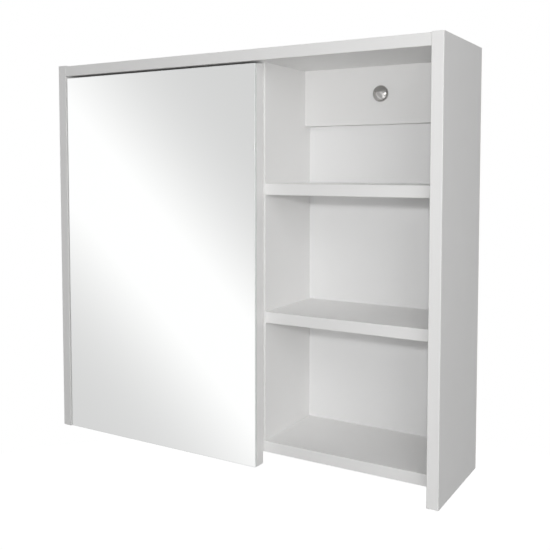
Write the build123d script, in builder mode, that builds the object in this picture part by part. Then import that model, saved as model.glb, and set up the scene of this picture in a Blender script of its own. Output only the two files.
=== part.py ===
from build123d import *
import os

# Bathroom mirror cabinet for the wall. Millimetres, +Z up, the front looks along -Y.
# The origin is under the middle of the cabinet, level with the bottom ends of its two sides.

# Driving dimensions of the carcass
width = 600.0
height = 550.0
depth = 150.0
board = 15.0
back_thickness = 3.0
top_drop = 1.0
bottom_rise = 16.0
inner_setback = 22.0
edge_radius = 0.8

# Partition, shelves and hanging rails
partition_left = 37.5
lower_shelf_z = 191.0
upper_shelf_z = 361.0
rail_height = 78.0
rail_thickness = 15.0
inner_shelf_levels = {"lower": 176.0, "upper": 336.0}
inner_shelf_setback = 40.0
inner_shelf_play = 0.8

# Door
door_gap_side = 2.5
door_gap_top = 3.0
door_width = 333.0
door_foot_gap = 1.0
door_arris = 0.5
mirror_thickness = 4.0
mirror_arris = 0.6
tape_thickness = 0.5
tape_width = 24.0

# Holes for the two wall bolts, and the caps that cover them
wall_bolt_x = (-123.75, 168.75)
wall_bolt_z = 497.0
wall_bolt_radius = 3.0
cap_radius = 11.0
cap_height = 6.0
cap_rim = 1.5
cap_wall = 0.8
washer_radius = 9.6
washer_thickness = 1.5
washer_hole_radius = 3.6

# Concealed hinges, in plan: x from the left side's inner face, y from the front plane.
# The long outer link and the short inner link run from pins in the arm to pins in the cup.
hinge_levels = {"lower": 96.0, "upper": 438.0}
cup_centre_x = 24.0
outer_arm_pivot = (34.0, 38.0)
outer_cup_pivot = (12.4, 12.5)
inner_arm_pivot = (35.5, 15.0)
inner_cup_pivot = (18.4, 13.4)
pin_radius = 1.1
pin_clearance = 0.05

# Faces that the rest is worked out from
front = -depth / 2
rear = depth / 2
side_inner = width / 2 - board
top_z = height - top_drop
top_underside = top_z - board
bottom_top = bottom_rise + board
panel_rear = rear - back_thickness
inner_front = front + inner_setback
partition_right = partition_left + board
rail_front = panel_rear - rail_thickness
rail_bottom = top_underside - rail_height
door_left = -side_inner + door_gap_side
door_right = door_left + door_width
door_bottom = door_foot_gap
door_top = top_underside - door_gap_top
door_board_front = front + mirror_thickness + tape_thickness
door_back = door_board_front + board

os.makedirs("parts", exist_ok=True)


def slab(x_span, y_span, z_span, mode=Mode.ADD):
    """A board or block between two values on each axis."""
    middle = [(low + high) / 2 for low, high in (x_span, y_span, z_span)]
    size = [high - low for low, high in (x_span, y_span, z_span)]
    with Locations(tuple(middle)):
        Box(*size, mode=mode)


def rod(start, direction, radius, length, mode=Mode.ADD):
    """A round bar that starts at a point and runs along a direction."""
    with Locations(Plane(origin=start, z_dir=direction)):
        Cylinder(radius, length, align=(Align.CENTER, Align.CENTER, Align.MIN), mode=mode)


def countersunk_screw(seat, direction, radius, length, head_radius):
    """A screw whose flat head is flush with its seat, pointing along the direction."""
    from_seat = (Align.CENTER, Align.CENTER, Align.MIN)
    with Locations(Plane(origin=seat, z_dir=direction)):
        Cone(head_radius, radius, head_radius - radius, align=from_seat)
        Cylinder(radius, length, align=from_seat)


# Dowels that join the boards, each half in one board and half in the next
dowel_radius = 4.0
dowel_in_board = 18.0
dowel_in_side = 10.0
shelf_fixing_rows = (front + 50.0, front + 118.0)
top_middle_z = top_underside + board / 2
bottom_middle_z = bottom_rise + board / 2
shelf_middles = (lower_shelf_z + board / 2, upper_shelf_z + board / 2)
rail_middle_y = rail_front + rail_thickness / 2
rail_dowel_levels = (rail_bottom + 20.0, rail_bottom + 60.0)

with BuildPart() as board_dowels:
    end_dowel = dowel_in_side + dowel_in_board
    for hand in (-1, 1):
        start_x = hand * (side_inner + dowel_in_side)
        for z in (top_middle_z, bottom_middle_z):
            rod((start_x, 0, z), (-hand, 0, 0), dowel_radius, end_dowel)
        for z in rail_dowel_levels:
            rod((start_x, rail_middle_y, z), (-hand, 0, 0), dowel_radius, end_dowel)
    for y in shelf_fixing_rows:
        for z in shelf_middles:
            rod((side_inner + dowel_in_side, y, z), (-1, 0, 0), dowel_radius, end_dowel)
    for z in rail_dowel_levels:
        through_start = (partition_left - dowel_in_board, rail_middle_y, z)
        rod(through_start, (1, 0, 0), dowel_radius, board + 2 * dowel_in_board)
board_dowels.part.label = "board_dowels"
export_step(board_dowels.part, "parts/board_dowels.step")

# Cam fittings at the four corners, let into the hidden faces of the top and the bottom
cam_radius = 7.5
cam_depth = 12.5
cam_from_end = 34.0
cam_bolt_radius = 3.5
cam_bolt_overlap = 3.0
cam_thread_radius = 2.5
cam_thread_length = 11.0
cam_cross = (1.6, 8.0, 2.0)
cam_rows = (front + 36.0, front + 116.0)
cam_faces = ((top_z, (0, 0, -1)), (bottom_rise, (0, 0, 1)))


def cam_bodies(mode=Mode.ADD):
    """The eight round bodies of the cam discs, without their cross recesses."""
    for hand in (-1, 1):
        for y in cam_rows:
            for face_z, inward in cam_faces:
                rod((hand * (side_inner - cam_from_end), y, face_z), inward, cam_radius, cam_depth, mode)


with BuildPart() as cam_bolts:
    shank_length = cam_from_end - cam_radius + cam_bolt_overlap
    for hand in (-1, 1):
        for y in cam_rows:
            for z in (top_middle_z, bottom_middle_z):
                rod((hand * side_inner, y, z), (-hand, 0, 0), cam_bolt_radius, shank_length)
                rod((hand * side_inner, y, z), (hand, 0, 0), cam_thread_radius, cam_thread_length)
cam_bolts.part.label = "cam_bolts"
export_step(cam_bolts.part, "parts/cam_bolts.step")

with BuildPart() as cam_discs:
    cam_bodies()
    add(cam_bolts.part, mode=Mode.SUBTRACT)
    slot_width, slot_length, slot_depth = cam_cross
    for hand in (-1, 1):
        for y in cam_rows:
            for face_z, inward in cam_faces:
                with Locations((hand * (side_inner - cam_from_end), y, face_z)):
                    Box(slot_width, slot_length, 2 * slot_depth, mode=Mode.SUBTRACT)
                    Box(slot_length, slot_width, 2 * slot_depth, mode=Mode.SUBTRACT)
cam_discs.part.label = "cam_discs"
export_step(cam_discs.part, "parts/cam_discs.step")

# Long screws down through the top and up through the bottom into the partition's ends
board_screw_radius = 2.5
board_screw_length = 48.0
board_screw_head = 5.0
partition_middle = partition_left + board / 2

with BuildPart() as partition_screws:
    for y in shelf_fixing_rows:
        for face_z, inward in cam_faces:
            countersunk_screw((partition_middle, y, face_z), inward,
                              board_screw_radius, board_screw_length, board_screw_head)
partition_screws.part.label = "partition_screws"
export_step(partition_screws.part, "parts/partition_screws.step")

# Screws from behind the door through the partition into the ends of the open shelves
with BuildPart() as shelf_screws:
    for y in shelf_fixing_rows:
        for z in shelf_middles:
            countersunk_screw((partition_left, y, z), (1, 0, 0),
                              board_screw_radius, board_screw_length, board_screw_head)
shelf_screws.part.label = "shelf_screws"
export_step(shelf_screws.part, "parts/shelf_screws.step")

# Small screws through the back panel into every board behind it
back_screw_radius = 1.5
back_screw_head = 2.8
back_screw_length = 18.0
back_screw_columns = (-240.0, -80.0, 100.0, 245.0)
back_screw_shelf_columns = (110.0, 230.0)
back_screw_partition_levels = (120.0, 290.0, 430.0)

with BuildPart() as back_screws:
    places = [(x, z) for x in back_screw_columns for z in (top_middle_z, bottom_middle_z)]
    places += [(partition_middle, z) for z in back_screw_partition_levels]
    places += [(x, z) for x in back_screw_shelf_columns for z in shelf_middles]
    for x, z in places:
        countersunk_screw((x, rear, z), (0, -1, 0), back_screw_radius, back_screw_length, back_screw_head)
back_screws.part.label = "back_screws"
export_step(back_screws.part, "parts/back_screws.step")

# Pins that carry the two loose shelves behind the door, in bored rows that let them move up or down
shelf_pin_hole_radius = 2.5
shelf_pin_in_board = 9.0
shelf_pin_radius = 3.5
shelf_pin_length = 7.5
shelf_pin_rows = (front + 66.0, front + 124.0)
shelf_hole_pitch = 32.0
pin_walls = ((-side_inner, 1), (partition_left, -1))

with BuildPart() as shelf_pins:
    for wall_x, inward in pin_walls:
        for y in shelf_pin_rows:
            for shelf_z in inner_shelf_levels.values():
                seat = (wall_x, y, shelf_z - shelf_pin_radius)
                rod(seat, (inward, 0, 0), shelf_pin_radius, shelf_pin_length)
                rod(seat, (-inward, 0, 0), shelf_pin_hole_radius, shelf_pin_in_board)
shelf_pins.part.label = "shelf_pins"
export_step(shelf_pins.part, "parts/shelf_pins.step")


def spare_pin_holes(wall_x, inward):
    """The empty shelf-pin holes one pitch above and below each pin in one wall."""
    for y in shelf_pin_rows:
        for shelf_z in inner_shelf_levels.values():
            for step in (-shelf_hole_pitch, shelf_hole_pitch):
                mouth = (wall_x, y, shelf_z - shelf_pin_radius + step)
                rod(mouth, (-inward, 0, 0), shelf_pin_hole_radius, shelf_pin_in_board, Mode.SUBTRACT)


# Concealed hinges. Heights are measured from the hinge's middle, outwards both ways.
link_half_height = 3.4
link_width = 1.8
link_eye = 2.2
inner_link_cheek = (4.0, 5.2)
arm_cheek = (5.7, 6.9)
arm_wall = 1.2
arm_tip = 2.4
arm_pin_reach = 6.9
rivet_head_radius = 1.7
rivet_head_height = 0.4
cup_pin_reach = 8.8
stub_pin_span = (4.0, 8.8)
cup_bore_radius = 17.5
cup_bore_depth = 12.3
cup_radius = 17.45
cup_depth = 12.2
cup_floor = 1.0
cup_rim_radius = 19.0
cup_flange = 0.9
cup_wing_offset = 6.0
cup_wing_size = (18.0, 62.0)
cup_wing_corner = 4.0
cup_pocket = (9.6, 38.4, 7.6)
open_pivot_recess_radius = 3.5
open_pivot_recess_depth = 1.6
cup_screw_offset = (6.0, 24.0)
cup_screw_radius = 1.8
cup_screw_head = 3.6
cup_screw_length = 13.0
plate_wings = (2.5, 51.0, 63.0, 22.0)
plate_block = (5.0, 50.0, 92.0, 5.5)
plate_corner = 3.0
plate_screw_y = 57.0
plate_screw_z = 16.0
plate_screw_radius = 2.0
plate_screw_head = 3.8
plate_screw_length = 14.0
arm_screws_y = (58.0, 87.0)
arm_screw_radius = 2.0
arm_screw_head_radius = 3.6
arm_screw_head_height = 2.0
arm_screw_slot = (0.9, 1.0)

# The arm's side view seen from above: its edge towards the side panel, then its outer edge
arm_inner_edge = ((33.1, 15), (31.5, 24), (30.5, 35), (27, 38.5), (9, 45.5), (3, 48), (3, 100))
arm_outer_edge = ((13.2, 100), (13.2, 52), (14, 50), (34.2, 44), (37.9, 38.6), (37.9, 15))
arm_hollow = ((0, 101), (12, 101), (12, 51.7), (13.2, 49), (33.5, 43), (36.7, 38.3), (36.7, 20),
              (45, 20), (45, 5), (0, 5))

# Centrelines of the links, x from the cup pin towards the arm pin, y across
outer_link_line = ((0, 0), (0.9, -3.8), (2.9, -7.6), (5.2, -8.9), (8.3, -7.9), (11.7, -6.15),
                   (16, -4.6), (24, -2.0))
outer_link_bend = 1.5
inner_link_line = ((0, 0), (4, -2.0), (9.3, -2.8), (13.5, -1.7))
inner_link_bend = 4.0
inner_link_bridge = (1.25, 2.25, 1.2)


def hinge_point(x, y, z=0.0):
    """A point of the hinge's plan, at a height, in the cabinet's frame."""
    return (x - side_inner, y + front, z)


def link_plane(cup_pivot, arm_pivot, z):
    """The plane of a link's drawing: its origin on the cup pin, x towards the arm pin."""
    along = (arm_pivot[0] - cup_pivot[0], arm_pivot[1] - cup_pivot[1], 0)
    return Plane(origin=hinge_point(*cup_pivot, z), x_dir=along, z_dir=(0, 0, 1))


def link_length(cup_pivot, arm_pivot):
    """The distance between a link's two pins."""
    return (Vector(*arm_pivot) - Vector(*cup_pivot)).length


def link_outline(plane, line, length, bend):
    """The drawing of a link: a bent strip of even width with a round eye at each end."""
    with BuildSketch(plane) as outline:
        with BuildLine():
            FilletPolyline(*line, (length, 0), radius=bend)
            offset(amount=link_width / 2, side=Side.BOTH)
        make_face()
        with Locations((0, 0), (length, 0)):
            Circle(link_eye)
    return outline.sketch


def hinge_outer_link(level):
    """The long C-shaped link, bent round the cup's rim, that carries the door's weight."""
    length = link_length(outer_cup_pivot, outer_arm_pivot)
    with BuildPart() as link:
        plane = link_plane(outer_cup_pivot, outer_arm_pivot, level - link_half_height)
        extrude(link_outline(plane, outer_link_line, length, outer_link_bend), amount=2 * link_half_height)
        for pivot in (outer_cup_pivot, outer_arm_pivot):
            eye = hinge_point(*pivot, level - link_half_height)
            rod(eye, (0, 0, 1), pin_radius + pin_clearance, 2 * link_half_height, Mode.SUBTRACT)
    return link.part


def hinge_inner_link(level):
    """The short link: two cheeks either side of the long one, bridged behind the arm pin."""
    length = link_length(inner_cup_pivot, inner_arm_pivot)
    low, high = inner_link_cheek
    bridge_start, bridge_end, bridge_half_width = inner_link_bridge
    with BuildPart() as link:
        for z in (level - high, level + low):
            plane = link_plane(inner_cup_pivot, inner_arm_pivot, z)
            extrude(link_outline(plane, inner_link_line, length, inner_link_bend), amount=high - low)
        bridge_plane = link_plane(inner_cup_pivot, inner_arm_pivot, level - high)
        with BuildSketch(bridge_plane):
            with Locations((length + (bridge_start + bridge_end) / 2, 0)):
                Rectangle(bridge_end - bridge_start, 2 * bridge_half_width)
        extrude(amount=2 * high)
        arm_eye = hinge_point(*inner_arm_pivot, level - high)
        rod(arm_eye, (0, 0, 1), pin_radius + pin_clearance, 2 * high, Mode.SUBTRACT)
        add(hinge_stub_pins(level), mode=Mode.SUBTRACT)
    return link.part


def hinge_stub_pins(level):
    """The short link's two pins, one riveted in each cheek, that run in the cup's side walls."""
    start, end = stub_pin_span
    with BuildPart() as pins:
        for way in (-1, 1):
            rod(hinge_point(*inner_cup_pivot, level + way * start), (0, 0, way), pin_radius, end - start)
    return pins.part


def hinge_arm_pins(level):
    """The two riveted pins that fix the links to the arm."""
    with BuildPart() as pins:
        for pivot in (outer_arm_pivot, inner_arm_pivot):
            for way in (-1, 1):
                rod(hinge_point(*pivot, level), (0, 0, way), pin_radius, arm_pin_reach)
                rod(hinge_point(*pivot, level + way * arm_pin_reach), (0, 0, way),
                    rivet_head_radius, rivet_head_height)
    return pins.part


def hinge_cup_pin(level):
    """The long link's pin, held at both ends in the cup's side walls."""
    with BuildPart() as pin:
        rod(hinge_point(*outer_cup_pivot, level - cup_pin_reach), (0, 0, 1), pin_radius, 2 * cup_pin_reach)
    return pin.part


def hinge_cup_screws(level):
    """The two screws that hold the cup's wings to the door."""
    offset_x, offset_z = cup_screw_offset
    with BuildPart() as screws:
        for way in (-1, 1):
            seat = (cup_centre_x + offset_x - side_inner, door_back + cup_flange, level + way * offset_z)
            countersunk_screw(seat, (0, -1, 0), cup_screw_radius, cup_screw_length, cup_screw_head)
    return screws.part


def hinge_cup(level):
    """The cup pressed into the door: a round body with a slot for the links and two screw wings."""
    left, right, half_height = cup_pocket
    middle = (cup_centre_x - side_inner, door_back, level)
    pocket_floor = door_back - cup_depth + cup_floor
    flange_plane = Plane(origin=middle, x_dir=(1, 0, 0), z_dir=(0, 1, 0))
    with BuildPart() as cup:
        rod(middle, (0, -1, 0), cup_radius, cup_depth)
        with BuildSketch(flange_plane) as flange:
            with Locations((cup_wing_offset, 0)):
                RectangleRounded(*cup_wing_size, cup_wing_corner)
            Circle(cup_rim_radius)
        extrude(amount=cup_flange)
        slab((left - side_inner, right - side_inner), (pocket_floor, door_back + 2 * cup_flange),
             (level - half_height, level + half_height), Mode.SUBTRACT)
        for way in (-1, 1):
            recess = hinge_point(*inner_cup_pivot, level + way * half_height)
            rod(recess, (0, 0, way), open_pivot_recess_radius, open_pivot_recess_depth, Mode.SUBTRACT)
        add(hinge_cup_pin(level), mode=Mode.SUBTRACT)
        add(hinge_cup_screws(level), mode=Mode.SUBTRACT)
    return cup.part


def hinge_arm(level):
    """The bent channel arm that stands on the mounting plate and reaches out into the cup."""
    low, high = arm_cheek
    with BuildPart() as arm:
        with BuildSketch(Plane.XY.offset(level - high)):
            with BuildLine():
                Polyline([hinge_point(x, y)[:2] for x, y in arm_inner_edge + arm_outer_edge], close=True)
            make_face()
            with Locations(hinge_point(*inner_arm_pivot)[:2]):
                Circle(arm_tip)
        extrude(amount=2 * high)
        with BuildSketch(Plane.XY.offset(level - low)):
            with BuildLine():
                Polyline([hinge_point(x, y)[:2] for x, y in arm_hollow], close=True)
            make_face()
        extrude(amount=2 * low, mode=Mode.SUBTRACT)
        add(hinge_arm_pins(level), mode=Mode.SUBTRACT)
        add(hinge_arm_screws(level), mode=Mode.SUBTRACT)
    return arm.part


def hinge_arm_screws(level):
    """The screws that adjust the arm and clamp it to its plate, slotted heads on the arm's web."""
    web_x = arm_outer_edge[0][0]
    block_depth = plate_block[0]
    slot_width, slot_depth = arm_screw_slot
    with BuildPart() as screws:
        for y in arm_screws_y:
            seat = hinge_point(web_x, y, level)
            rod(seat, (-1, 0, 0), arm_screw_radius, web_x - block_depth / 2)
            rod(seat, (1, 0, 0), arm_screw_head_radius, arm_screw_head_height)
            with Locations(hinge_point(web_x + arm_screw_head_height, y, level)):
                Box(2 * slot_depth, 3 * arm_screw_head_radius, slot_width, mode=Mode.SUBTRACT)
    return screws.part


def hinge_plate_screws(level):
    """The two screws that hold the mounting plate to the side panel."""
    wing_thickness = plate_wings[0]
    with BuildPart() as screws:
        for way in (-1, 1):
            seat = hinge_point(wing_thickness, plate_screw_y, level + way * plate_screw_z)
            countersunk_screw(seat, (-1, 0, 0), plate_screw_radius, plate_screw_length, plate_screw_head)
    return screws.part


def hinge_plate(level):
    """The cross-shaped mounting plate on the side panel, under the arm."""
    thickness, wing_front, wing_rear, wing_half = plate_wings
    rise, block_front, block_rear, block_half = plate_block
    wing_middle = hinge_point(0, (wing_front + wing_rear) / 2, level)
    with BuildPart() as plate:
        with BuildSketch(Plane(origin=wing_middle, x_dir=(0, 1, 0), z_dir=(1, 0, 0))):
            RectangleRounded(wing_rear - wing_front, 2 * wing_half, plate_corner)
        extrude(amount=thickness)
        slab((-side_inner, rise - side_inner), (block_front + front, block_rear + front),
             (level - block_half, level + block_half))
        add(hinge_plate_screws(level), mode=Mode.SUBTRACT)
        add(hinge_arm_screws(level), mode=Mode.SUBTRACT)
    return plate.part


hinge_makers = {
    "hinge_cup": hinge_cup,
    "hinge_cup_screws": hinge_cup_screws,
    "hinge_cup_pin": hinge_cup_pin,
    "hinge_outer_link": hinge_outer_link,
    "hinge_inner_link": hinge_inner_link,
    "hinge_stub_pins": hinge_stub_pins,
    "hinge_arm": hinge_arm,
    "hinge_arm_pins": hinge_arm_pins,
    "hinge_arm_screws": hinge_arm_screws,
    "hinge_plate": hinge_plate,
    "hinge_plate_screws": hinge_plate_screws,
}
for place, level in hinge_levels.items():
    for piece_name, make in hinge_makers.items():
        piece = make(level)
        piece.label = f"{place}_{piece_name}"
        export_step(piece, f"parts/{place}_{piece_name}.step")

# The two sides, which stand a little proud of the top and hang below the bottom
with BuildPart() as left_side:
    slab((-width / 2, -side_inner), (front, rear), (0, height))
    fillet(left_side.edges().filter_by(Axis.Z).group_by(Axis.Y)[0], edge_radius)
    add([board_dowels.part, cam_bolts.part, shelf_pins.part], mode=Mode.SUBTRACT)
    for level in hinge_levels.values():
        add(hinge_plate_screws(level), mode=Mode.SUBTRACT)
    spare_pin_holes(*pin_walls[0])
left_side.part.label = "left_side"
export_step(left_side.part, "parts/left_side.step")

with BuildPart() as right_side:
    slab((side_inner, width / 2), (front, rear), (0, height))
    fillet(right_side.edges().filter_by(Axis.Z).group_by(Axis.Y)[0], edge_radius)
    add([board_dowels.part, cam_bolts.part], mode=Mode.SUBTRACT)
right_side.part.label = "right_side"
export_step(right_side.part, "parts/right_side.step")

# Top and bottom between the sides; the bottom stands back so that the door covers its edge
with BuildPart() as top_panel:
    slab((-side_inner, side_inner), (front, panel_rear), (top_underside, top_z))
    fillet(top_panel.edges().filter_by(Axis.X).group_by(Axis.Y)[0], edge_radius)
    add([board_dowels.part, cam_bolts.part, partition_screws.part, back_screws.part], mode=Mode.SUBTRACT)
    cam_bodies(Mode.SUBTRACT)
top_panel.part.label = "top_panel"
export_step(top_panel.part, "parts/top_panel.step")

with BuildPart() as bottom_panel:
    slab((-side_inner, side_inner), (inner_front, panel_rear), (bottom_rise, bottom_top))
    fillet(bottom_panel.edges().filter_by(Axis.X).group_by(Axis.Y)[0], edge_radius)
    add([board_dowels.part, cam_bolts.part, partition_screws.part, back_screws.part], mode=Mode.SUBTRACT)
    cam_bodies(Mode.SUBTRACT)
bottom_panel.part.label = "bottom_panel"
export_step(bottom_panel.part, "parts/bottom_panel.step")

# The upright partition between the door compartment and the open shelves
with BuildPart() as partition:
    slab((partition_left, partition_right), (inner_front, panel_rear), (bottom_top, top_underside))
    fillet(partition.edges().filter_by(Axis.Z).group_by(Axis.Y)[0], edge_radius)
    add([board_dowels.part, partition_screws.part, shelf_screws.part], mode=Mode.SUBTRACT)
    add([back_screws.part, shelf_pins.part], mode=Mode.SUBTRACT)
    spare_pin_holes(*pin_walls[1])
partition.part.label = "partition"
export_step(partition.part, "parts/partition.step")


def open_shelf(shelf_z):
    """A fixed shelf of the open bays, dowelled to the right side and screwed to the partition."""
    with BuildPart() as shelf:
        slab((partition_right, side_inner), (inner_front, panel_rear), (shelf_z, shelf_z + board))
        fillet(shelf.edges().filter_by(Axis.X).group_by(Axis.Y)[0], edge_radius)
        add([board_dowels.part, shelf_screws.part, back_screws.part], mode=Mode.SUBTRACT)
    return shelf.part


for place, shelf_z in (("lower", lower_shelf_z), ("upper", upper_shelf_z)):
    shelf = open_shelf(shelf_z)
    shelf.label = f"{place}_open_shelf"
    export_step(shelf, f"parts/{place}_open_shelf.step")

# The two loose shelves behind the door, which rest on their pins
for place, shelf_z in inner_shelf_levels.items():
    with BuildPart() as inner_shelf:
        slab((-side_inner + inner_shelf_play, partition_left - inner_shelf_play),
             (front + inner_shelf_setback, panel_rear - inner_shelf_play), (shelf_z, shelf_z + board))
        fillet(inner_shelf.edges().filter_by(Axis.X).group_by(Axis.Y)[0], edge_radius)
    inner_shelf.part.label = f"{place}_inner_shelf"
    export_step(inner_shelf.part, f"parts/{place}_inner_shelf.step")

# Hanging rails under the top, bored for the wall bolts; the back panel is bored with them
for place, x_span in (("left", (-side_inner, partition_left)), ("right", (partition_right, side_inner))):
    with BuildPart() as rail:
        slab(x_span, (rail_front, panel_rear), (rail_bottom, top_underside))
        for x in wall_bolt_x:
            rod((x, rail_front, wall_bolt_z), (0, 1, 0), wall_bolt_radius, rail_thickness, Mode.SUBTRACT)
        add(board_dowels.part, mode=Mode.SUBTRACT)
    rail.part.label = f"{place}_rail"
    export_step(rail.part, f"parts/{place}_rail.step")

with BuildPart() as back_panel:
    slab((-side_inner, side_inner), (panel_rear, rear), (bottom_rise, top_z))
    for x in wall_bolt_x:
        rod((x, panel_rear, wall_bolt_z), (0, 1, 0), wall_bolt_radius, back_thickness, Mode.SUBTRACT)
    add(back_screws.part, mode=Mode.SUBTRACT)
back_panel.part.label = "back_panel"
export_step(back_panel.part, "parts/back_panel.step")

# A plastic washer round each bolt hole, and the domed cap that clips over it
def dome_profile(across, radius, rise):
    """Half the section of a dome with a short straight rim, standing on y = 0 and rising to -y."""
    crown = rise - cap_rim
    sphere = (radius**2 + crown**2) / (2 * crown)
    shoulder_x = radius / 2
    shoulder_y = (sphere - rise) - (sphere**2 - shoulder_x**2) ** 0.5
    with BuildSketch(across) as profile:
        with BuildLine():
            Polyline((0, -rise), (0, 0), (radius, 0), (radius, -cap_rim))
            ThreePointArc((radius, -cap_rim), (shoulder_x, shoulder_y), (0, -rise))
        make_face()
    return profile.sketch


for place, x in zip(("left", "right"), wall_bolt_x):
    hole_mouth = (x, rail_front, wall_bolt_z)
    with BuildPart() as washer:
        rod(hole_mouth, (0, -1, 0), washer_radius, washer_thickness)
        rod(hole_mouth, (0, -1, 0), washer_hole_radius, washer_thickness, Mode.SUBTRACT)
    washer.part.label = f"{place}_cap_washer"
    export_step(washer.part, f"parts/{place}_cap_washer.step")

    section = Plane(origin=hole_mouth, x_dir=(1, 0, 0), z_dir=(0, 0, 1))
    bolt_axis = Axis(hole_mouth, (0, 1, 0))
    with BuildPart() as cap:
        revolve(dome_profile(section, cap_radius, cap_height), axis=bolt_axis)
        inside = dome_profile(section, cap_radius - cap_wall, cap_height - cap_wall)
        revolve(inside, axis=bolt_axis, mode=Mode.SUBTRACT)
    cap.part.label = f"{place}_bolt_cap"
    export_step(cap.part, f"parts/{place}_bolt_cap.step")

# The door: a melamine board, foam tape and a mirror glass over its whole front
with BuildPart() as door_board:
    slab((door_left, door_right), (door_board_front, door_back), (door_bottom, door_top))
    fillet(door_board.faces().sort_by(Axis.Y)[-1].edges(), door_arris)
    for level in hinge_levels.values():
        bore_mouth = (cup_centre_x - side_inner, door_back, level)
        rod(bore_mouth, (0, -1, 0), cup_bore_radius, cup_bore_depth, Mode.SUBTRACT)
        add(hinge_cup_screws(level), mode=Mode.SUBTRACT)
door_board.part.label = "door_board"
export_step(door_board.part, "parts/door_board.step")

tape_inset = 6.0
tape_columns = 4

with BuildPart() as mirror_tape:
    first = door_left + tape_inset + tape_width / 2
    last = door_right - tape_inset - tape_width / 2
    for column in range(tape_columns):
        x = first + (last - first) * column / (tape_columns - 1)
        slab((x - tape_width / 2, x + tape_width / 2), (front + mirror_thickness, door_board_front),
             (door_bottom + tape_inset, door_top - tape_inset))
mirror_tape.part.label = "mirror_tape"
export_step(mirror_tape.part, "parts/mirror_tape.step")

with BuildPart() as mirror_glass:
    slab((door_left, door_right), (front, front + mirror_thickness), (door_bottom, door_top))
    chamfer(mirror_glass.faces().sort_by(Axis.Y)[0].edges(), mirror_arris)
mirror_glass.part.label = "mirror_glass"
export_step(mirror_glass.part, "parts/mirror_glass.step")

# Clear buffers on the partition's front edge that the closed door rests on
bumper_radius = 4.0
bumper_gap = 0.1
bumper_levels = (60.0, 267.0, 490.0)

with BuildPart() as door_bumpers:
    stand = inner_front - door_back - bumper_gap
    for z in bumper_levels:
        rod((partition_left + board / 2, inner_front, z), (0, -1, 0), bumper_radius, stand)
    chamfer(door_bumpers.faces().filter_by(Axis.Y).group_by(Axis.Y)[0].edges(), stand / 2)
door_bumpers.part.label = "door_bumpers"
export_step(door_bumpers.part, "parts/door_bumpers.step")
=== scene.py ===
import math

import bmesh
import bpy
import numpy as np
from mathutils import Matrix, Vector


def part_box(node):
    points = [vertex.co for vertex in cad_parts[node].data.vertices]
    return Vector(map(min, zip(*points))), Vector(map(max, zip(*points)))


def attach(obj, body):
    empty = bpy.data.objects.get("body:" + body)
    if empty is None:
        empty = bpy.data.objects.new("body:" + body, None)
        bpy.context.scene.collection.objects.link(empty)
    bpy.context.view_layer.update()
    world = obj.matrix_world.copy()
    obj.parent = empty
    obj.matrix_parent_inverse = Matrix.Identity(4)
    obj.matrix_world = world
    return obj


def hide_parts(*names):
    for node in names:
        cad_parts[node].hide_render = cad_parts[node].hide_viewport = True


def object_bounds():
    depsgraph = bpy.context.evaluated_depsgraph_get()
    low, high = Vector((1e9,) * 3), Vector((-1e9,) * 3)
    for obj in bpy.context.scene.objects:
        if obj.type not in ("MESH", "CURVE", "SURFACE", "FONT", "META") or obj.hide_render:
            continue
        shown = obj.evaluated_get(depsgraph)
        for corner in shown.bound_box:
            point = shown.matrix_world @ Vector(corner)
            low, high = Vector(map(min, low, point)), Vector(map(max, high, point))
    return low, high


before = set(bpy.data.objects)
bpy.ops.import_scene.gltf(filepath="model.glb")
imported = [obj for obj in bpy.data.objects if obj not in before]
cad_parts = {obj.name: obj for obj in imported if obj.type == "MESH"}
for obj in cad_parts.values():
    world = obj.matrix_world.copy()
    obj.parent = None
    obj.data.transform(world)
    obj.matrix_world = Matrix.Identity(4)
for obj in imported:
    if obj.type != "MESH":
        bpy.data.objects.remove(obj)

cad_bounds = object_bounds()

# Boards of the carcass, the loose shelves and the door: 15 mm chipboard, faced on both
# sides with white melamine paper that is pressed with a fine pearl. A thin edge band is
# ironed on the front edges, and its glue line is a hairline just behind the edge.
board_white = (0.865, 0.862, 0.856, 1)
board_white_low = (0.850, 0.847, 0.841, 1)
glue_line_colour = (0.56, 0.54, 0.50, 1)
chip_light = (0.60, 0.46, 0.30, 1)
chip_dark = (0.30, 0.20, 0.11, 1)
edge_band = 0.00045
glue_line_half = 0.00007
pearl_size = 0.00055
chip_size = 0.0022
raw_edge_depth = 0.0003
paper_cloud_size = 0.11
gloss_cloud_size = 0.02
paper_roughness = (0.36, 0.46)
raw_extra_roughness = 0.4
pearl_depth = 0.00002


def add_node(tree, kind, inputs=None, **settings):
    """Adds a node, gives it its settings, and feeds each input a number or another node's output."""
    node = tree.nodes.new(kind)
    for setting, value in settings.items():
        setattr(node, setting, value)
    for key, value in (inputs or {}).items():
        if isinstance(value, bpy.types.NodeSocket):
            tree.links.new(value, node.inputs[key])
        else:
            node.inputs[key].default_value = value
    return node


def calculate(tree, operation, *values):
    """The result of one sum on numbers or outputs."""
    return add_node(tree, "ShaderNodeMath", dict(enumerate(values)), operation=operation).outputs[0]


def new_finish(name, sockets):
    """A finish with one shader whose fixed sockets are set. Gives the finish, its tree, its
    shader and its Object coordinates."""
    material = bpy.data.materials.new(name)
    material.use_nodes = True
    tree = material.node_tree
    shader = tree.nodes["Principled BSDF"]
    for socket, value in sockets.items():
        shader.inputs[socket].default_value = value
    return material, tree, shader, add_node(tree, "ShaderNodeTexCoord").outputs["Object"]


def speckle(tree, where, size, detail=2.0):
    """Cloudy noise from 0 to 1 whose blotches are about as wide as the given size in metres."""
    inputs = {"Vector": where, "Scale": 1 / size, "Detail": detail}
    return add_node(tree, "ShaderNodeTexNoise", inputs).outputs["Fac"]


def spread(tree, share, low, high):
    """Turns noise about one half into a range of numbers."""
    inputs = {"Value": share, "From Min": 0.3, "From Max": 0.7, "To Min": low, "To Max": high}
    return add_node(tree, "ShaderNodeMapRange", inputs).outputs["Result"]


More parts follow.
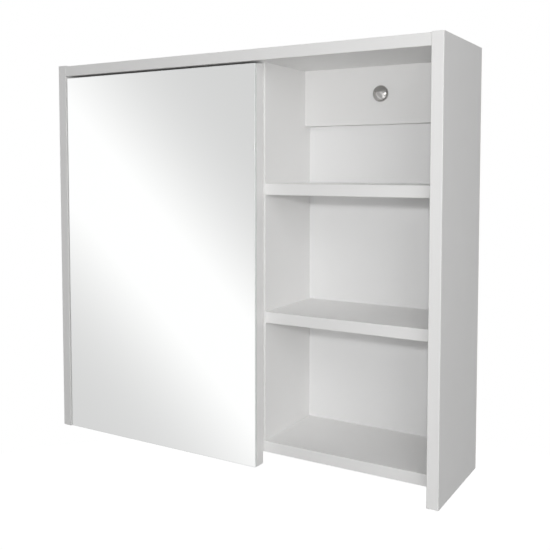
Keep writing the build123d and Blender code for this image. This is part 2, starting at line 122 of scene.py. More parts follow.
def mix_colours(tree, share, low, high):
    """A colour mix whose two colours may be fixed or worked out, by the Mix node's colour sockets."""
    node = tree.nodes.new("ShaderNodeMix")
    node.data_type = "RGBA"
    colour_sockets = {"Factor": 0, "A": 6, "B": 7}
    for key, value in (("Factor", share), ("A", low), ("B", high)):
        socket = node.inputs[colour_sockets[key]]
        if isinstance(value, bpy.types.NodeSocket):
            tree.links.new(value, socket)
        else:
            socket.default_value = value
    return node.outputs[2]


def relief(tree, shader, height, depth, strength=1.0):
    """Bump whose height runs from 0 to 1 over a depth in metres."""
    inputs = {"Height": height, "Distance": depth, "Strength": strength}
    tree.links.new(add_node(tree, "ShaderNodeBump", inputs).outputs["Normal"], shader.inputs["Normal"])


def melamine(name, band_line_y, raw_from_y):
    """White melamine with a glue line behind its front edge and raw chipboard on its rear edge."""
    material, tree, shader, place = new_finish(name, {"Specular IOR Level": 0.45})
    paper = mix_colours(tree, speckle(tree, place, paper_cloud_size), board_white_low, board_white)
    y = add_node(tree, "ShaderNodeSeparateXYZ", {0: place}).outputs["Y"]
    on_line = calculate(tree, "COMPARE", y, band_line_y, glue_line_half)
    lined = mix_colours(tree, on_line, paper, glue_line_colour)
    chip_inputs = {"Vector": place, "Scale": 1 / chip_size}
    chips = add_node(tree, "ShaderNodeTexVoronoi", chip_inputs).outputs["Color"]
    chip_share = add_node(tree, "ShaderNodeSeparateXYZ", {0: chips}).outputs["X"]
    chip = mix_colours(tree, chip_share, chip_dark, chip_light)
    raw = calculate(tree, "GREATER_THAN", y, raw_from_y)
    tree.links.new(mix_colours(tree, raw, lined, chip), shader.inputs["Base Color"])
    pearl = speckle(tree, place, pearl_size, 3.0)
    gloss = spread(tree, speckle(tree, place, gloss_cloud_size), *paper_roughness)
    dull = calculate(tree, "MULTIPLY", raw, raw_extra_roughness)
    tree.links.new(calculate(tree, "ADD", gloss, dull), shader.inputs["Roughness"])
    relief(tree, shader, pearl, pearl_depth, 0.6)
    return material


def dress(finish, *names):
    """Gives CAD nodes their finish."""
    for name in names:
        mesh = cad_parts[name].data
        mesh.materials.clear()
        mesh.materials.append(finish)


front_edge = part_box("left_side")[0].y
inset_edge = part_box("partition")[0].y
rear_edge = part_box("left_side")[1].y
side_board = melamine("side_board", front_edge + edge_band, rear_edge - raw_edge_depth)
top_board = melamine("top_board", front_edge + edge_band, rear_edge)
inset_board = melamine("inset_board", inset_edge + edge_band, rear_edge)
loose_board = melamine("loose_board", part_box("lower_inner_shelf")[0].y + edge_band, rear_edge)
door_face = melamine("door_face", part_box("door_board")[1].y - edge_band, rear_edge)
dress(side_board, "left_side", "right_side")
dress(top_board, "top_panel", "left_rail", "right_rail")
dress(inset_board, "bottom_panel", "partition", "lower_open_shelf", "upper_open_shelf")
dress(loose_board, "lower_inner_shelf", "upper_inner_shelf")
dress(door_face, "door_board")

# Back panel: a 3 mm hardboard sheet, lacquered white on the side that shows in the open
# shelves and left brown behind, with the short fibres of its pulp showing. It is screwed
# over the rear edges of the boards between the two sides.
lacquer_white = (0.88, 0.88, 0.879, 1)
lacquer_white_low = (0.865, 0.865, 0.864, 1)
pulp_brown = (0.235, 0.145, 0.082, 1)
pulp_light = (0.36, 0.245, 0.15, 1)
fibre_pale = (0.47, 0.35, 0.23, 1)
lacquer_reach = 0.0004
lacquer_cloud_size = 0.05
lacquer_roughness = 0.42
brown_extra_roughness = 0.38
pulp_size = 0.006
fibre_size = 0.0013
fibre_depth = 0.00004
fibre_stretch = (1.0, 1.0, 0.22)


def stretch(tree, where, scale):
    """Coordinates scaled on each axis, which draws a texture out along the axis of least scale."""
    return add_node(tree, "ShaderNodeMapping", {"Vector": where, "Scale": scale}).outputs["Vector"]


panel_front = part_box("back_panel")[0].y
hardboard, tree, shader, place = new_finish("hardboard", {"Specular IOR Level": 0.4})
panel_y = add_node(tree, "ShaderNodeSeparateXYZ", {0: place}).outputs["Y"]
behind = calculate(tree, "GREATER_THAN", panel_y, panel_front + lacquer_reach)
pulp = mix_colours(tree, speckle(tree, place, pulp_size, 5.0), pulp_brown, pulp_light)
fibre_height = speckle(tree, stretch(tree, place, fibre_stretch), fibre_size, 4.0)
fibre = spread(tree, fibre_height, -0.6, 0.5)
fibre_share = add_node(tree, "ShaderNodeClamp", {"Value": fibre}).outputs["Result"]
fibred = mix_colours(tree, fibre_share, pulp, fibre_pale)
lacquer = mix_colours(tree, speckle(tree, place, lacquer_cloud_size), lacquer_white_low, lacquer_white)
tree.links.new(mix_colours(tree, behind, lacquer, fibred), shader.inputs["Base Color"])
roughness = calculate(tree, "MULTIPLY_ADD", behind, brown_extra_roughness, lacquer_roughness)
tree.links.new(roughness, shader.inputs["Roughness"])
relief(tree, shader, fibre_height, fibre_depth, 0.5)
dress(hardboard, "back_panel")

# Dowels: 8 mm beech pegs, glued in bores in the ends of the boards. They are pressed with
# straight flutes that let the glue out, and their two ends are chamfered.
dowel_radius = 0.004
dowel_chamfer = 0.0009
dowel_end_radius = dowel_radius - dowel_chamfer
dowel_flutes = 18
flute_depth = 0.00014
grain_size = 0.0011
grain_depth = 0.00008
grain_stretch = (0.08, 1.0, 1.0)
beech = (0.62, 0.44, 0.27, 1)
beech_dark = (0.47, 0.31, 0.175, 1)


def solids(node):
    """The box of each solid in a CAD node. Corners at one place are one point, and each triangle
    passes the lowest label of its three points on to them until no label changes any more."""
    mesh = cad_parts[node].data
    corners = np.empty(len(mesh.vertices) * 3, np.float32)
    mesh.vertices.foreach_get("co", corners)
    triangles = np.empty(len(mesh.loops), np.int32)
    mesh.loops.foreach_get("vertex_index", triangles)
    points, merged = np.unique(corners.reshape(-1, 3).round(6), axis=0, return_inverse=True)
    triangles = merged.reshape(-1)[triangles].reshape(-1, 3)
    labels = np.arange(len(points))
    settled = False
    while not settled:
        passed = labels.copy()
        np.minimum.at(passed, triangles.ravel(), np.repeat(labels[triangles].min(axis=1), 3))
        passed = passed[passed]
        settled = bool((passed == labels).all())
        labels = passed
    boxes = []
    for label in np.unique(labels):
        solid = points[labels == label]
        boxes.append((solid.min(axis=0), solid.max(axis=0)))
    return boxes


def lathe_places(node, axis, head_high):
    """Where each turned piece of a node starts, at its head, and which way it runs along an axis.
    head_high says, for a piece's middle, whether its head is at the high end of its box."""
    places = []
    for low, high in solids(node):
        middle = (low + high) / 2
        direction = np.zeros(3)
        direction[axis] = -1.0 if head_high(middle) else 1.0
        start = middle.copy()
        start[axis] = high[axis] if head_high(middle) else low[axis]
        places.append((start, direction))
    return places


def link_mesh(name, points, faces, finishes, face_finish=None, crease=35):
    """A mesh from points and faces, with its normals pointing outwards. Edges bent by more
    than the crease angle stay sharp."""
    mesh = bpy.data.meshes.new(name)
    mesh.from_pydata(points.tolist(), [], faces)
    shell = bmesh.new()
    shell.from_mesh(mesh)
    bmesh.ops.recalc_face_normals(shell, faces=shell.faces)
    shell.to_mesh(mesh)
    shell.free()
    mesh.polygons.foreach_set("use_smooth", np.ones(len(mesh.polygons), bool))
    mesh.set_sharp_from_angle(angle=math.radians(crease))
    for finish in finishes:
        mesh.materials.append(finish)
    if face_finish is not None:
        mesh.polygons.foreach_set("material_index", face_finish)
    mesh.update()
    piece = bpy.data.objects.new(name, mesh)
    bpy.context.scene.collection.objects.link(piece)
    return piece


def turned(name, places, profile, segments, finish, shape=None):
    """Pieces turned on a lathe, all alike, one at each place. A profile point of radius r and depth d
    gives a ring: start + direction * d + r * (side * cos a + up * sin a) for the angles a, where side
    and up are square to the direction. The profile's two ends lie on the axis and are one point each.
    shape(r, d, a) may change the radii and depths, for a thread, flutes or a driver's recess."""
    columns = np.asarray(profile, float).T
    radius, depth = (np.repeat(column[:, None], segments, axis=1) for column in columns)
    angle = np.repeat(np.arange(segments)[None, :] * 2 * np.pi / segments, len(profile), axis=0)
    if shape is not None:
        radius, depth = shape(radius, depth, angle)
    rings = len(profile)
    around = np.arange(segments)[None, :]
    ring_start = 1 + np.arange(rings - 3)[:, None] * segments
    first = ring_start + around
    following = ring_start + (around + 1) % segments
    walls = np.stack([first, following, following + segments, first + segments], axis=-1).reshape(-1, 4)
    count = 2 + (rings - 2) * segments
    ring = 1 + np.arange(segments)
    last_ring = ring + (rings - 3) * segments
    fans = np.vstack([
        np.stack([np.zeros(segments, int), np.roll(ring, -1), ring], axis=-1),
        np.stack([np.full(segments, count - 1), last_ring, np.roll(last_ring, -1)], axis=-1),
    ])
    points = []
    faces = []
    for index, (start, direction) in enumerate(places):
        direction = np.asarray(direction, float)
        side = np.cross(direction, (0.0, 0.0, 1.0) if abs(direction[2]) < 0.9 else (0.0, 1.0, 0.0))
        side /= np.linalg.norm(side)
        up = np.cross(direction, side)
        across = radius[..., None] * (np.cos(angle)[..., None] * side + np.sin(angle)[..., None] * up)
        grid = np.asarray(start) + depth[..., None] * direction + across
        points += [grid[0, :1], grid[1:-1].reshape(-1, 3), grid[-1, :1]]
        faces += (walls + index * count).tolist() + (fans + index * count).tolist()
    return link_mesh(name, np.vstack(points), faces, [finish])


def fluted(radius, depth, angle):
    """Shallow flutes along a dowel's full-width stretch: the radius falls by a cosine of the angle."""
    full = radius > dowel_radius - 1e-6
    return radius - full * flute_depth * (0.5 + 0.5 * np.cos(dowel_flutes * angle)), depth


dowel_wood, tree, shader, place = new_finish("dowel_wood", {"Roughness": 0.62})
grain = speckle(tree, stretch(tree, place, grain_stretch), grain_size, 4.0)
tree.links.new(mix_colours(tree, grain, beech_dark, beech), shader.inputs["Base Color"])
relief(tree, shader, grain, grain_depth, 0.6)
dowel_boxes = solids("board_dowels")
dowel_lengths = sorted({round(float(high[0] - low[0]), 4) for low, high in dowel_boxes})
for number, length in enumerate(dowel_lengths):
    same_length = [((low[0], (low[1] + high[1]) / 2, (low[2] + high[2]) / 2), (1, 0, 0))
                   for low, high in dowel_boxes if abs(high[0] - low[0] - length) < 0.0002]
    dowel_profile = [(0, 0), (dowel_end_radius, 0), (dowel_radius, dowel_chamfer),
                     (dowel_radius, length - dowel_chamfer), (dowel_end_radius, length), (0, length)]
    name = f"fluted_dowels_{number}"
    dowels = turned(name, same_length, dowel_profile, 4 * dowel_flutes, dowel_wood, fluted)
    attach(dowels, "cabinet")
    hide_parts("board_dowels")

# Screws: countersunk chipboard screws of hardened steel with a bright zinc coat. Each head
# is flush with its board and has a cross recess, and the thread runs to a sharp point.
zinc_coat = (0.71, 0.715, 0.70, 1)
zinc_coat_blue = (0.60, 0.62, 0.64, 1)
recess_share = 0.58
recess_width_share = 0.16
recess_depth_share = 0.42
recess_taper_share = 0.45
recess_side_slope = 0.25
recess_end_slope = 0.2
thread_height_share = 0.16
thread_sharpness = 2.2
point_length_share = 2.2
screw_segments = 40


def metal(name, colour, other, smooth, rough, cell, depth):
    """Bare or coated metal: its colour clouds between two tones, and fine marks roughen its gloss."""
    material, tree, shader, place = new_finish(name, {"Metallic": 1.0})
    tone = mix_colours(tree, speckle(tree, place, 8 * cell), colour, other)
    tree.links.new(tone, shader.inputs["Base Color"])
    marks = speckle(tree, place, cell, 4.0)
    tree.links.new(spread(tree, marks, smooth, rough), shader.inputs["Roughness"])
    relief(tree, shader, marks, depth, 0.5)
    return material


def cross_recess(radius, depth, angle, head_radius):
    """Sinks a cross into the top of a head. A point is in an arm of the cross where its smaller offset
    from the axis is under the arm's half width and its larger offset is under the arm's reach."""
    across, beyond = np.abs(radius * np.cos(angle)), np.abs(radius * np.sin(angle))
    nearer, farther = np.minimum(across, beyond), np.maximum(across, beyond)
    half = recess_width_share * head_radius
    reach = recess_share * head_radius
    in_width = np.clip((half - nearer) / (recess_side_slope * half), 0, 1)
    in_reach = np.clip((reach - farther) / (recess_end_slope * half), 0, 1)
    on_top = (depth < 1e-7) & (radius < 0.9 * head_radius)
    taper = 1 - recess_taper_share * farther / reach
    return depth + on_top * in_width * in_reach * recess_depth_share * head_radius * taper


def screws(name, places, radius, length, head_radius, pitch, finish):
    """Countersunk screws. The thread is a ridge on the shank, highest where depth / pitch less the
    angle's share of a turn is a whole number, and it runs from under the head to the point."""
    core = radius * (1 - thread_height_share)
    cone = head_radius - radius
    point = point_length_share * radius
    head_rows = np.linspace(0, 0.93 * head_radius, 14)
    shank_rows = np.arange(cone, length - point, pitch / 4)
    tip_rows = np.linspace(length - point, length, 9)
    profile = [(row, 0.0) for row in head_rows]
    profile += [(head_radius, 0.05 * cone), (0.96 * head_radius, 0.12 * cone)]
    profile += [(core, row) for row in shank_rows]
    profile += [(core * (length - row) / point, row) for row in tip_rows]

    def shape(ring_radius, depth, angle):
        """Adds the thread's ridge to the shank's radii, and sinks the recess into the head."""
        phase = np.abs((depth / pitch - angle / (2 * np.pi)) % 1 - 0.5) * 2
        threaded = np.clip((depth - cone) / pitch, 0, 1) * np.clip((length - depth) / point, 0, 1)
        ridge = (radius - core) * np.clip(1 - thread_sharpness * (1 - phase), 0, 1)
        return ring_radius + threaded * ridge, cross_recess(ring_radius, depth, angle, head_radius)

    return turned(name, places, profile, screw_segments, finish, shape)


def above_middle(middle):
    """Whether a piece is in the upper half of the cabinet."""
    return middle[2] > cabinet_middle_z


screw_steel = metal("screw_steel", zinc_coat, zinc_coat_blue,
                    smooth=0.20, rough=0.36, cell=0.0004, depth=0.000008)
x_axis, y_axis, z_axis = 0, 1, 2
cabinet_middle_z = (cad_bounds[0][2] + cad_bounds[1][2]) / 2
# Node, axis, whether its head is at the high end, body, shank radius, head radius and pitch
screw_sets = [
    ("back_screws", y_axis, lambda middle: True, "cabinet", 0.0016, 0.0028, 0.0013),
    ("partition_screws", z_axis, above_middle, "cabinet", 0.0026, 0.005, 0.0022),
    ("shelf_screws", x_axis, lambda middle: False, "cabinet", 0.0026, 0.005, 0.0022),
]
for level in ("lower", "upper"):
    screw_sets += [
        (f"{level}_hinge_cup_screws", y_axis, lambda middle: True, "door", 0.0018, 0.0036, 0.0016),
        (f"{level}_hinge_plate_screws", x_axis, lambda middle: True, "cabinet", 0.002, 0.0038, 0.0017),
    ]
for node, axis, head_high, body, radius, head_radius, pitch in screw_sets:
    places = lathe_places(node, axis, head_high)
    low, high = solids(node)[0]
    length = float(high[axis] - low[axis])
    name = f"crosshead_{node}"
    crossed = screws(name, places, radius, length, head_radius, pitch, screw_steel)
    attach(crossed, body)
    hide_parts(node)

# Cam fittings at the four corners: a steel bolt in the side, whose head a zinc die-cast
# disc grips and pulls tight when its cross recess is turned. The casting is dull and pitted.
cast_grey = (0.50, 0.50, 0.49, 1)
cast_dark = (0.37, 0.37, 0.365, 1)
disc_lip = 0.0006
disc_segments = 64
cast_zinc = metal("cast_zinc", cast_grey, cast_dark,
                  smooth=0.38, rough=0.58, cell=0.0006, depth=0.00004)
disc_places = lathe_places("cam_discs", z_axis, above_middle)
disc_low, disc_high = solids("cam_discs")[0]
disc_radius = float(disc_high[0] - disc_low[0]) / 2
disc_depth = float(disc_high[2] - disc_low[2])
disc_profile = [(row, 0.0) for row in np.linspace(0, 0.88 * disc_radius, 16)]
disc_profile += [(disc_radius - disc_lip, 0.0), (disc_radius, disc_lip),
                 (disc_radius, disc_depth - disc_lip), (disc_radius - disc_lip, disc_depth),
                 (0, disc_depth)]


def disc_shape(radius, depth, angle):
    """The disc's driver recess, cut as a screw head's is."""
    return radius, cross_recess(radius, depth, angle, disc_radius)


discs = turned("crossed_cam_discs", disc_places, disc_profile, disc_segments, cast_zinc, disc_shape)
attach(discs, "cabinet")
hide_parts("cam_discs")
dress(screw_steel, "cam_bolts")

# Shelf pins: turned, nickel-plated steel. The thin end sits in a bored hole, and the thick
# end has a groove and a rounded nose, on which a loose shelf rests behind the door.
nickel = (0.64, 0.615, 0.57, 1)
nickel_pale = (0.72, 0.70, 0.66, 1)
pin_segments = 36
nickel_plate = metal("nickel_plate", nickel, nickel_pale,
                     smooth=0.16, rough=0.30, cell=0.0007, depth=0.000006)
pin_places = lathe_places("shelf_pins", x_axis, lambda middle: middle[0] < 0)
pin_low, pin_high = solids("shelf_pins")[0]
pin_length = float(pin_high[0] - pin_low[0])
pin_nose_length = 0.0075
pin_radius = float(pin_high[2] - pin_low[2]) / 2
stem_radius = 0.0025
stem_chamfer = 0.0006
nose = 0.0009
groove_start = 0.0044
groove_end = 0.0057
groove_slope = 0.0003
groove_radius = pin_radius - 0.0005
pin_profile = [(0, 0)]
pin_profile += [(pin_radius - nose + nose * math.sin(turn), nose - nose * math.cos(turn))
                for turn in np.linspace(0, math.pi / 2, 6)]
pin_profile += [(pin_radius, groove_start), (groove_radius, groove_start + groove_slope),
                (groove_radius, groove_end - groove_slope), (pin_radius, groove_end),
                (pin_radius, pin_nose_length), (stem_radius, pin_nose_length),
                (stem_radius, pin_length - stem_chamfer), (stem_radius - stem_chamfer, pin_length),
                (0, pin_length)]
pins = turned("turned_shelf_pins", pin_places, pin_profile, pin_segments, nickel_plate)
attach(pins, "cabinet")
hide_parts("shelf_pins")

# Wall-bolt washers and caps: a white plastic washer seats on the rail round each bolt
# hole, and a thin domed cap of polished chrome with a short straight rim clips over it.
washer_white = (0.74, 0.735, 0.71, 1)
washer_white_low = (0.70, 0.69, 0.665, 1)
washer_plastic, tree, shader, place = new_finish("washer_plastic", {"Roughness": 0.48})
skin = speckle(tree, place, 0.0009, 3.0)
tree.links.new(mix_colours(tree, skin, washer_white_low, washer_white), shader.inputs["Base Color"])
relief(tree, shader, skin, 0.00002, 0.5)
dress(washer_plastic, "left_cap_washer", "right_cap_washer")

chrome = (0.50, 0.485, 0.465, 1)
chrome_cool = (0.45, 0.45, 0.455, 1)
cap_chrome = metal("cap_chrome", chrome, chrome_cool,
                   smooth=0.035, rough=0.075, cell=0.0012, depth=0.000003)
cap_wall = 0.0008
cap_rim = 0.0015
rim_lip = 0.00035
cap_segments = 96
dome_steps = 28
for side in ("left", "right"):
    node = f"{side}_bolt_cap"
    low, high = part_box(node)
    cap_radius = (high.x - low.x) / 2
    cap_height = high.y - low.y
    turn = np.linspace(0, np.pi / 2, dome_steps)
    crown = cap_height - cap_rim
    outer = [(cap_radius * math.sin(t), crown * (1 - math.cos(t))) for t in turn]
    inner_radius = cap_radius - cap_wall
    rolled = [(cap_radius, cap_height - rim_lip), (cap_radius - 0.5 * rim_lip, cap_height),
              (inner_radius + 0.5 * rim_lip, cap_height), (inner_radius, cap_height - rim_lip)]
    inner = [(inner_radius * math.sin(t), cap_wall + (crown - cap_wall) * (1 - math.cos(t)))
             for t in turn[::-1]]
    top_of_dome = ((low.x + high.x) / 2, low.y, (low.z + high.z) / 2)
    cap_profile = outer + rolled + inner
    cap = turned(f"polished_{node}", [(top_of_dome, (0, 1, 0))], cap_profile, cap_segments, cap_chrome)
    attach(cap, "cabinet")
    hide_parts(node)

# Concealed hinges: cup, links, arm and mounting plate are stamped steel with a nickel coat
# that was brushed before plating. Their pins are bright steel wire, riveted over, and the
# arm's clamping screws have slotted heads.
brush_stretch = (1.0, 1.0, 0.06)
stroke_width = 0.00035
stroke_depth = 0.000012
wire_pale = (0.66, 0.665, 0.67, 1)
wire_deep = (0.56, 0.565, 0.57, 1)
hinge_nickel, tree, shader, place = new_finish("hinge_nickel", {"Metallic": 1.0})
strokes = speckle(tree, stretch(tree, place, brush_stretch), stroke_width, 5.0)
plate_tone = mix_colours(tree, speckle(tree, place, 0.012), nickel, nickel_pale)
tree.links.new(plate_tone, shader.inputs["Base Color"])
tree.links.new(spread(tree, strokes, 0.22, 0.36), shader.inputs["Roughness"])
relief(tree, shader, strokes, stroke_depth, 0.5)
pin_steel = metal("pin_steel", wire_pale, wire_deep,
                  smooth=0.18, rough=0.32, cell=0.0005, depth=0.000006)
for level in ("lower", "upper"):
    plated = ("hinge_cup", "hinge_outer_link", "hinge_inner_link", "hinge_arm", "hinge_plate")
    dress(hinge_nickel, *[f"{level}_{piece}" for piece in plated])
    wires = ("hinge_cup_pin", "hinge_stub_pins", "hinge_arm_pins")
    dress(pin_steel, *[f"{level}_{piece}" for piece in wires])
    dress(screw_steel, f"{level}_hinge_arm_screws")

# Door mirror: 4 mm float glass, silvered behind and backed with grey paint, as large as
# the door. Its edges are ground, with a narrow polished arris, and are only faintly green.
silver = (0.93, 0.937, 0.932, 1)
silver_low = (0.925, 0.93, 0.926, 1)
glass_edge_pale = (0.83, 0.85, 0.84, 1)
glass_edge_deep = (0.73, 0.77, 0.755, 1)
backing_grey = (0.20, 0.205, 0.21, 1)
backing_grey_low = (0.15, 0.155, 0.16, 1)
pane_corner = 0.0012
pane_arris = 0.0006
pane_rear_chamfer = 0.0003
grinding_stretch = (1.0, 1.0, 0.1)
grinding_size = 0.0003

silvered, tree, shader, place = new_finish("silvered_glass", {"Metallic": 1.0, "Roughness": 0.012})
tree.links.new(mix_colours(tree, speckle(tree, place, 0.2), silver_low, silver), shader.inputs["Base Color"])
relief(tree, shader, speckle(tree, place, 0.35, 0.0), 0.00001, 0.2)

ground_edge, tree, shader, place = new_finish("ground_glass_edge", {"Roughness": 0.22, "Coat Weight": 0.6})
lines = speckle(tree, stretch(tree, place, grinding_stretch), grinding_size, 3.0)
tree.links.new(mix_colours(tree, lines, glass_edge_deep, glass_edge_pale), shader.inputs["Base Color"])
relief(tree, shader, lines, 0.00001, 0.5)

backing, tree, shader, place = new_finish("mirror_backing", {"Roughness": 0.6})
coat = speckle(tree, place, 0.003, 4.0)
tree.links.new(mix_colours(tree, coat, backing_grey_low, backing_grey), shader.inputs["Base Color"])
relief(tree, shader, coat, 0.00003, 0.5)


def pane_ring(low, high, inset, y, steps=6):
    """One closed line round the pane at a depth y, inset from its outline. Each corner is a quarter
    circle of the pane's corner radius less the inset, about the same centre for every inset."""
    quarter = np.linspace(0, np.pi / 2, steps)
    turn = np.concatenate([quarter + k * np.pi / 2 for k in range(4)])
    right = np.repeat([1, -1, -1, 1], steps)
    upper = np.repeat([1, 1, -1, -1], steps)
    half_x, half_z = (high[0] - low[0]) / 2 - pane_corner, (high[2] - low[2]) / 2 - pane_corner
    x = (low[0] + high[0]) / 2 + right * half_x + (pane_corner - inset) * np.cos(turn)
    z = (low[2] + high[2]) / 2 + upper * half_z + (pane_corner - inset) * np.sin(turn)
    return np.stack([x, np.full(len(x), y), z], axis=-1)


pane_low, pane_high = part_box("mirror_glass")
arris_turn = np.linspace(0, np.pi / 2, 6)
pane_rings = []
for turn in arris_turn:
    inset = pane_arris * (1 - math.sin(turn))
    ring_y = pane_low.y + pane_arris * (1 - math.cos(turn))
    pane_rings.append(pane_ring(pane_low, pane_high, inset, ring_y))
pane_rings.append(pane_ring(pane_low, pane_high, 0.0, pane_high.y - pane_rear_chamfer))
pane_rings.append(pane_ring(pane_low, pane_high, pane_rear_chamfer, pane_high.y))
ring_size = len(pane_rings[0])
start_of = np.arange(len(pane_rings) - 1)[:, None] * ring_size
step_to = (np.arange(ring_size) + 1) % ring_size
wall_start = start_of + np.arange(ring_size)
wall_end = start_of + step_to
wall_corners = [wall_start, wall_end, wall_end + ring_size, wall_start + ring_size]
wall_faces = np.stack(wall_corners, axis=-1).reshape(-1, 4)
front_face = list(range(ring_size))
rear_face = [index + (len(pane_rings) - 1) * ring_size for index in range(ring_size)]
pane_faces = [front_face, rear_face] + wall_faces.tolist()
pane_finish = [0, 2] + [1] * len(wall_faces)
pane = link_mesh("silvered_door_mirror", np.vstack(pane_rings), pane_faces,
                 [silvered, ground_edge, backing], pane_finish)
pane.data.polygons[0].use_smooth = False
pane.data.polygons[1].use_smooth = False
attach(pane, "door")
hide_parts("mirror_glass")

# Mounting tape: double-sided white foam strips that hold the glass on the door board.
# The foam is closed-cell, so it is matt and finely pitted along its cut edges; its colour is painted darker
# in each pit, a painted shade.
foam_white = (0.72, 0.72, 0.70, 1)
foam_painted_pit_shade = (0.55, 0.55, 0.54, 1)
foam_cells_per_metre = 3500.0
foam_tape, tree, shader, place = new_finish("foam_tape", {"Roughness": 0.9})
cell_inputs = {"Vector": place, "Scale": foam_cells_per_metre}
cells = add_node(tree, "ShaderNodeTexVoronoi", cell_inputs).outputs["Distance"]
# Painted shade: the colour darkens towards the bottom of each pit, where the bump sinks
tree.links.new(mix_colours(tree, cells, foam_painted_pit_shade, foam_white), shader.inputs["Base Color"])
relief(tree, shader, cells, 0.0001, 0.7)
dress(foam_tape, "mirror_tape")

# Door buffers: clear, soft plastic domes, stuck on the partition's front edge. The door
# rests on them when it is closed, so they are only as thick as the gap behind it.
buffer_tint = (0.90, 0.93, 0.93, 1)
buffer_haze = (0.84, 0.88, 0.88, 1)
buffer_segments = 40
buffer_clear = {"Transmission Weight": 0.55, "IOR": 1.47, "Roughness": 0.3}
clear_plastic, tree, shader, place = new_finish("clear_plastic", buffer_clear)
haze = speckle(tree, place, 0.002, 2.0)
tree.links.new(mix_colours(tree, haze, buffer_haze, buffer_tint), shader.inputs["Base Color"])
relief(tree, shader, haze, 0.00002, 0.4)
buffer_low, buffer_high = solids("door_bumpers")[0]
buffer_radius = float(buffer_high[0] - buffer_low[0]) / 2
buffer_rise = float(buffer_high[1] - buffer_low[1])
buffer_turn = np.linspace(0, np.pi / 2, 14)
buffer_profile = [(buffer_radius * math.sin(t), buffer_rise * (1 - math.cos(t))) for t in buffer_turn]
buffer_profile += [(0, buffer_rise)]
buffer_places = lathe_places("door_bumpers", y_axis, lambda middle: False)
buffers = turned("domed_door_bumpers", buffer_places, buffer_profile, buffer_segments, clear_plastic)
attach(buffers, "cabinet")
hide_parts("door_bumpers")

# The floor: a pale disc well below the cabinet, which hangs on a wall. Seen directly it is
# as white as the room but for the cabinet's faint shadow, and mirrors look past it.
floor_drop = 1.1
floor_radius = 3.2
floor_white = (0.82, 0.82, 0.81, 1)
floor_share = (0.40, 0.40, 0.40, 1)
glow_near = 0.86
glow_far = 0.965
near_distance = 1.5
far_distance = 3.2
floor_sides = 96


def mix_shaders(tree, share, low, high):
    """One shader where the share is 0 and another where it is 1."""
    return add_node(tree, "ShaderNodeMixShader", {0: share, 1: low, 2: high}).outputs[0]


ring = np.arange(floor_sides) * 2 * np.pi / floor_sides
floor_level = np.full(floor_sides, -floor_drop)
disc_points = np.stack([floor_radius * np.cos(ring), floor_radius * np.sin(ring), floor_level], axis=-1)
floor_material = bpy.data.materials.new("pale_floor")
floor_material.use_nodes = True
tree = floor_material.node_tree
tree.nodes.clear()
path = add_node(tree, "ShaderNodeLightPath").outputs
plain = add_node(tree, "ShaderNodeBsdfDiffuse", {"Color": floor_white}).outputs[0]
dim = add_node(tree, "ShaderNodeBsdfDiffuse", {"Color": floor_share}).outputs[0]
spot = add_node(tree, "ShaderNodeTexCoord").outputs["Object"]
away = add_node(tree, "ShaderNodeVectorMath", {0: spot}, operation="LENGTH").outputs["Value"]
span = {"Value": away, "From Min": near_distance, "From Max": far_distance}
span.update({"To Min": glow_near, "To Max": glow_far})
level = add_node(tree, "ShaderNodeMapRange", span, interpolation_type="SMOOTHSTEP").outputs["Result"]
glow = add_node(tree, "ShaderNodeEmission", {"Strength": level}).outputs[0]
seen = add_node(tree, "ShaderNodeAddShader", {0: glow, 1: dim}).outputs[0]
clear = add_node(tree, "ShaderNodeBsdfTransparent").outputs[0]
past_mirror = mix_shaders(tree, path["Is Glossy Ray"], plain, clear)
direct = calculate(tree, "MAXIMUM", path["Is Camera Ray"], path["Is Transmission Ray"])
surface = mix_shaders(tree, direct, past_mirror, seen)
add_node(tree, "ShaderNodeOutputMaterial", {"Surface": surface})
floor_mesh = bpy.data.meshes.new("studio_floor")
floor_mesh.from_pydata(disc_points.tolist(), [], [list(range(floor_sides))])
floor_mesh.materials.append(floor_material)
floor = bpy.data.objects.new("studio_floor", floor_mesh)
bpy.context.scene.collection.objects.link(floor)

# The room: even pale light on every surface, white where it is seen directly, and for
# polished metal and the mirror a grey wall with soft slanting bands of brighter light, a
# window far to the left, and a dark place beside the camera, as a photographer's coat is.
ambient_level = 0.10
wall_level = 210.87 / 255
band_gain = 50.2 / 255
band_width = 6.478
band_period = 32
band_turn = 0.776
band_tilt = 0.631
band_offset = 34.73
mirror_reflectance = 0.93
dark_place = (0.403, -0.905, -0.139)
dark_width = 14.0
dark_brown = (0.030, 0.018, 0.011, 1)
window_place = (-0.978, -0.208, 0.0)
window_width = 14.0
window_white = (1.9, 1.9, 1.95, 1)
pure_white = (1, 1, 1, 1)
world = bpy.data.worlds.new("studio_room")
bpy.context.scene.world = world
world.use_nodes = True
tree = world.node_tree
tree.nodes.clear()
direction = add_node(tree, "ShaderNodeTexCoord").outputs["Generated"]
axes = add_node(tree, "ShaderNodeSeparateXYZ", {0: direction}).outputs
away = calculate(tree, "MULTIPLY", axes["Y"], -1.0)
turn = calculate(tree, "DEGREES", calculate(tree, "ARCTAN2", axes["X"], away))
tilt = calculate(tree, "DEGREES", calculate(tree, "ARCSINE", axes["Z"]))
slant = calculate(tree, "MULTIPLY_ADD", turn, band_turn, band_offset)
across_band = calculate(tree, "MULTIPLY_ADD", tilt, band_tilt, slant)
folded = calculate(tree, "WRAP", across_band, band_period / 2, -band_period / 2)
scaled = calculate(tree, "DIVIDE", folded, band_width)
squared = calculate(tree, "POWER", scaled, 2.0)
# The band falls off as e to the minus square of the distance across it over its width
band = calculate(tree, "EXPONENT", calculate(tree, "MULTIPLY", squared, -1.0))
shown = calculate(tree, "MINIMUM", calculate(tree, "MULTIPLY_ADD", band, band_gain, wall_level), 1.0)
# From the level a screen shows to light, by the standard display curve
lifted = calculate(tree, "DIVIDE", calculate(tree, "ADD", shown, 0.055), 1.055)
linear = calculate(tree, "POWER", lifted, 2.4)
wall_light = calculate(tree, "DIVIDE", linear, mirror_reflectance)


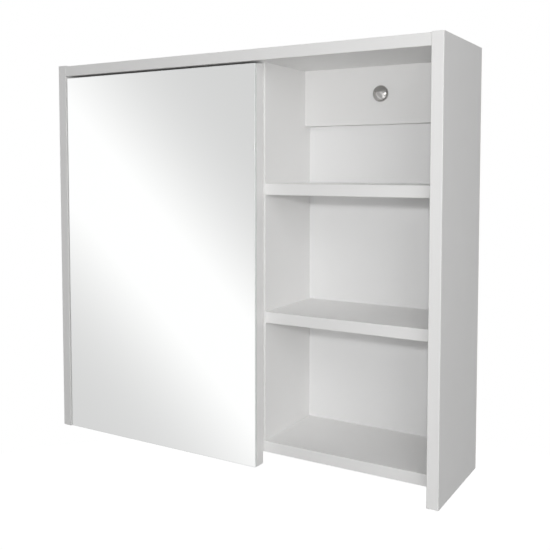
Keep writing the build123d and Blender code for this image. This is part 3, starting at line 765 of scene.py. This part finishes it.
def patch(place, width):
    """1 in the direction of a place, and soon 0 beyond a width in degrees: e to the minus fourth
    power of the angle off it over the width."""
    inputs = {0: direction, 1: place}
    toward = add_node(tree, "ShaderNodeVectorMath", inputs, operation="DOT_PRODUCT").outputs["Value"]
    cosine = calculate(tree, "MINIMUM", toward, 1.0)
    off = calculate(tree, "DEGREES", calculate(tree, "ARCCOSINE", cosine))
    fourth = calculate(tree, "POWER", calculate(tree, "DIVIDE", off, width), 4.0)
    return calculate(tree, "EXPONENT", calculate(tree, "MULTIPLY", fourth, -1.0))


def background(colour, strength):
    """Light from all round, of one colour and strength."""
    return add_node(tree, "ShaderNodeBackground", {"Color": colour, "Strength": strength}).outputs[0]


grey = {0: wall_light, 1: wall_light, 2: wall_light}
wall_colour = add_node(tree, "ShaderNodeCombineColor", grey).outputs[0]
coated = mix_colours(tree, patch(dark_place, dark_width), wall_colour, dark_brown)
reflected = mix_colours(tree, patch(window_place, window_width), coated, window_white)
path = add_node(tree, "ShaderNodeLightPath").outputs
ambient = background(pure_white, ambient_level)
mirrored = background(reflected, 1.0)
white = background(pure_white, 1.0)
unseen = mix_shaders(tree, path["Is Glossy Ray"], ambient, mirrored)
direct = calculate(tree, "MAXIMUM", path["Is Camera Ray"], path["Is Transmission Ray"])
backdrop = mix_shaders(tree, direct, unseen, white)
add_node(tree, "ShaderNodeOutputWorld", {"Surface": backdrop})

# The lamps: a small flash a little above and behind the camera, which throws the shelves'
# shadows down and to the left, soft panels above, to the right and low in front, whose
# light reaches into the open shelves, and one behind for the rear views.
flash_place = (0.61, -1.036, 0.505)
flash_power = 15.0
flash_radius = 0.035
aim = (0.0, 0.0, 0.28)
# Each panel's place, width and power
soft_panels = {
    "high_panel": ((0.7, -1.3, 1.9), 1.6, 6.6),
    "right_panel": ((1.9, -1.5, 1.0), 1.6, 15.1),
    "low_panel": ((0.9, -2.0, 0.0), 1.6, 6.8),
    "rear_panel": ((-0.9, 1.7, 1.3), 1.2, 14.0),
}
flash_light = bpy.data.lights.new("flash", "POINT")
flash_light.energy = flash_power
flash_light.shadow_soft_size = flash_radius
flash = bpy.data.objects.new("flash", flash_light)
flash.location = flash_place
bpy.context.scene.collection.objects.link(flash)
for name, (panel_place, panel_size, panel_power) in soft_panels.items():
    panel_light = bpy.data.lights.new(name, "AREA")
    panel_light.energy = panel_power
    panel_light.size = panel_size
    panel = bpy.data.objects.new(name, panel_light)
    panel.location = panel_place
    panel.rotation_euler = (Vector(aim) - Vector(panel_place)).to_track_quat("-Z", "Y").to_euler()
    bpy.context.scene.collection.objects.link(panel)

# The camera stands to the right of the cabinet at about the height of its upper shelf,
# and the frame is shifted down, as a crop of a larger picture is.
camera_place = (0.5800, -0.9176, 0.3952)
camera_azimuth = 30.66
camera_fall = 3.35
camera_lens = 50.34
principal_row = 214.0
picture_size = 550.0
camera_data = bpy.data.cameras.new("camera")
camera_data.lens = camera_lens
camera_data.sensor_width = 36.0
camera_data.shift_y = (principal_row - picture_size / 2) / picture_size
camera_data.clip_start = 0.02
camera = bpy.data.objects.new("camera", camera_data)
camera.location = camera_place
camera.rotation_euler = (math.radians(90 - camera_fall), 0, math.radians(camera_azimuth))
bpy.context.scene.collection.objects.link(camera)
bpy.context.scene.camera = camera
bpy.context.scene.view_settings.view_transform = "Standard"
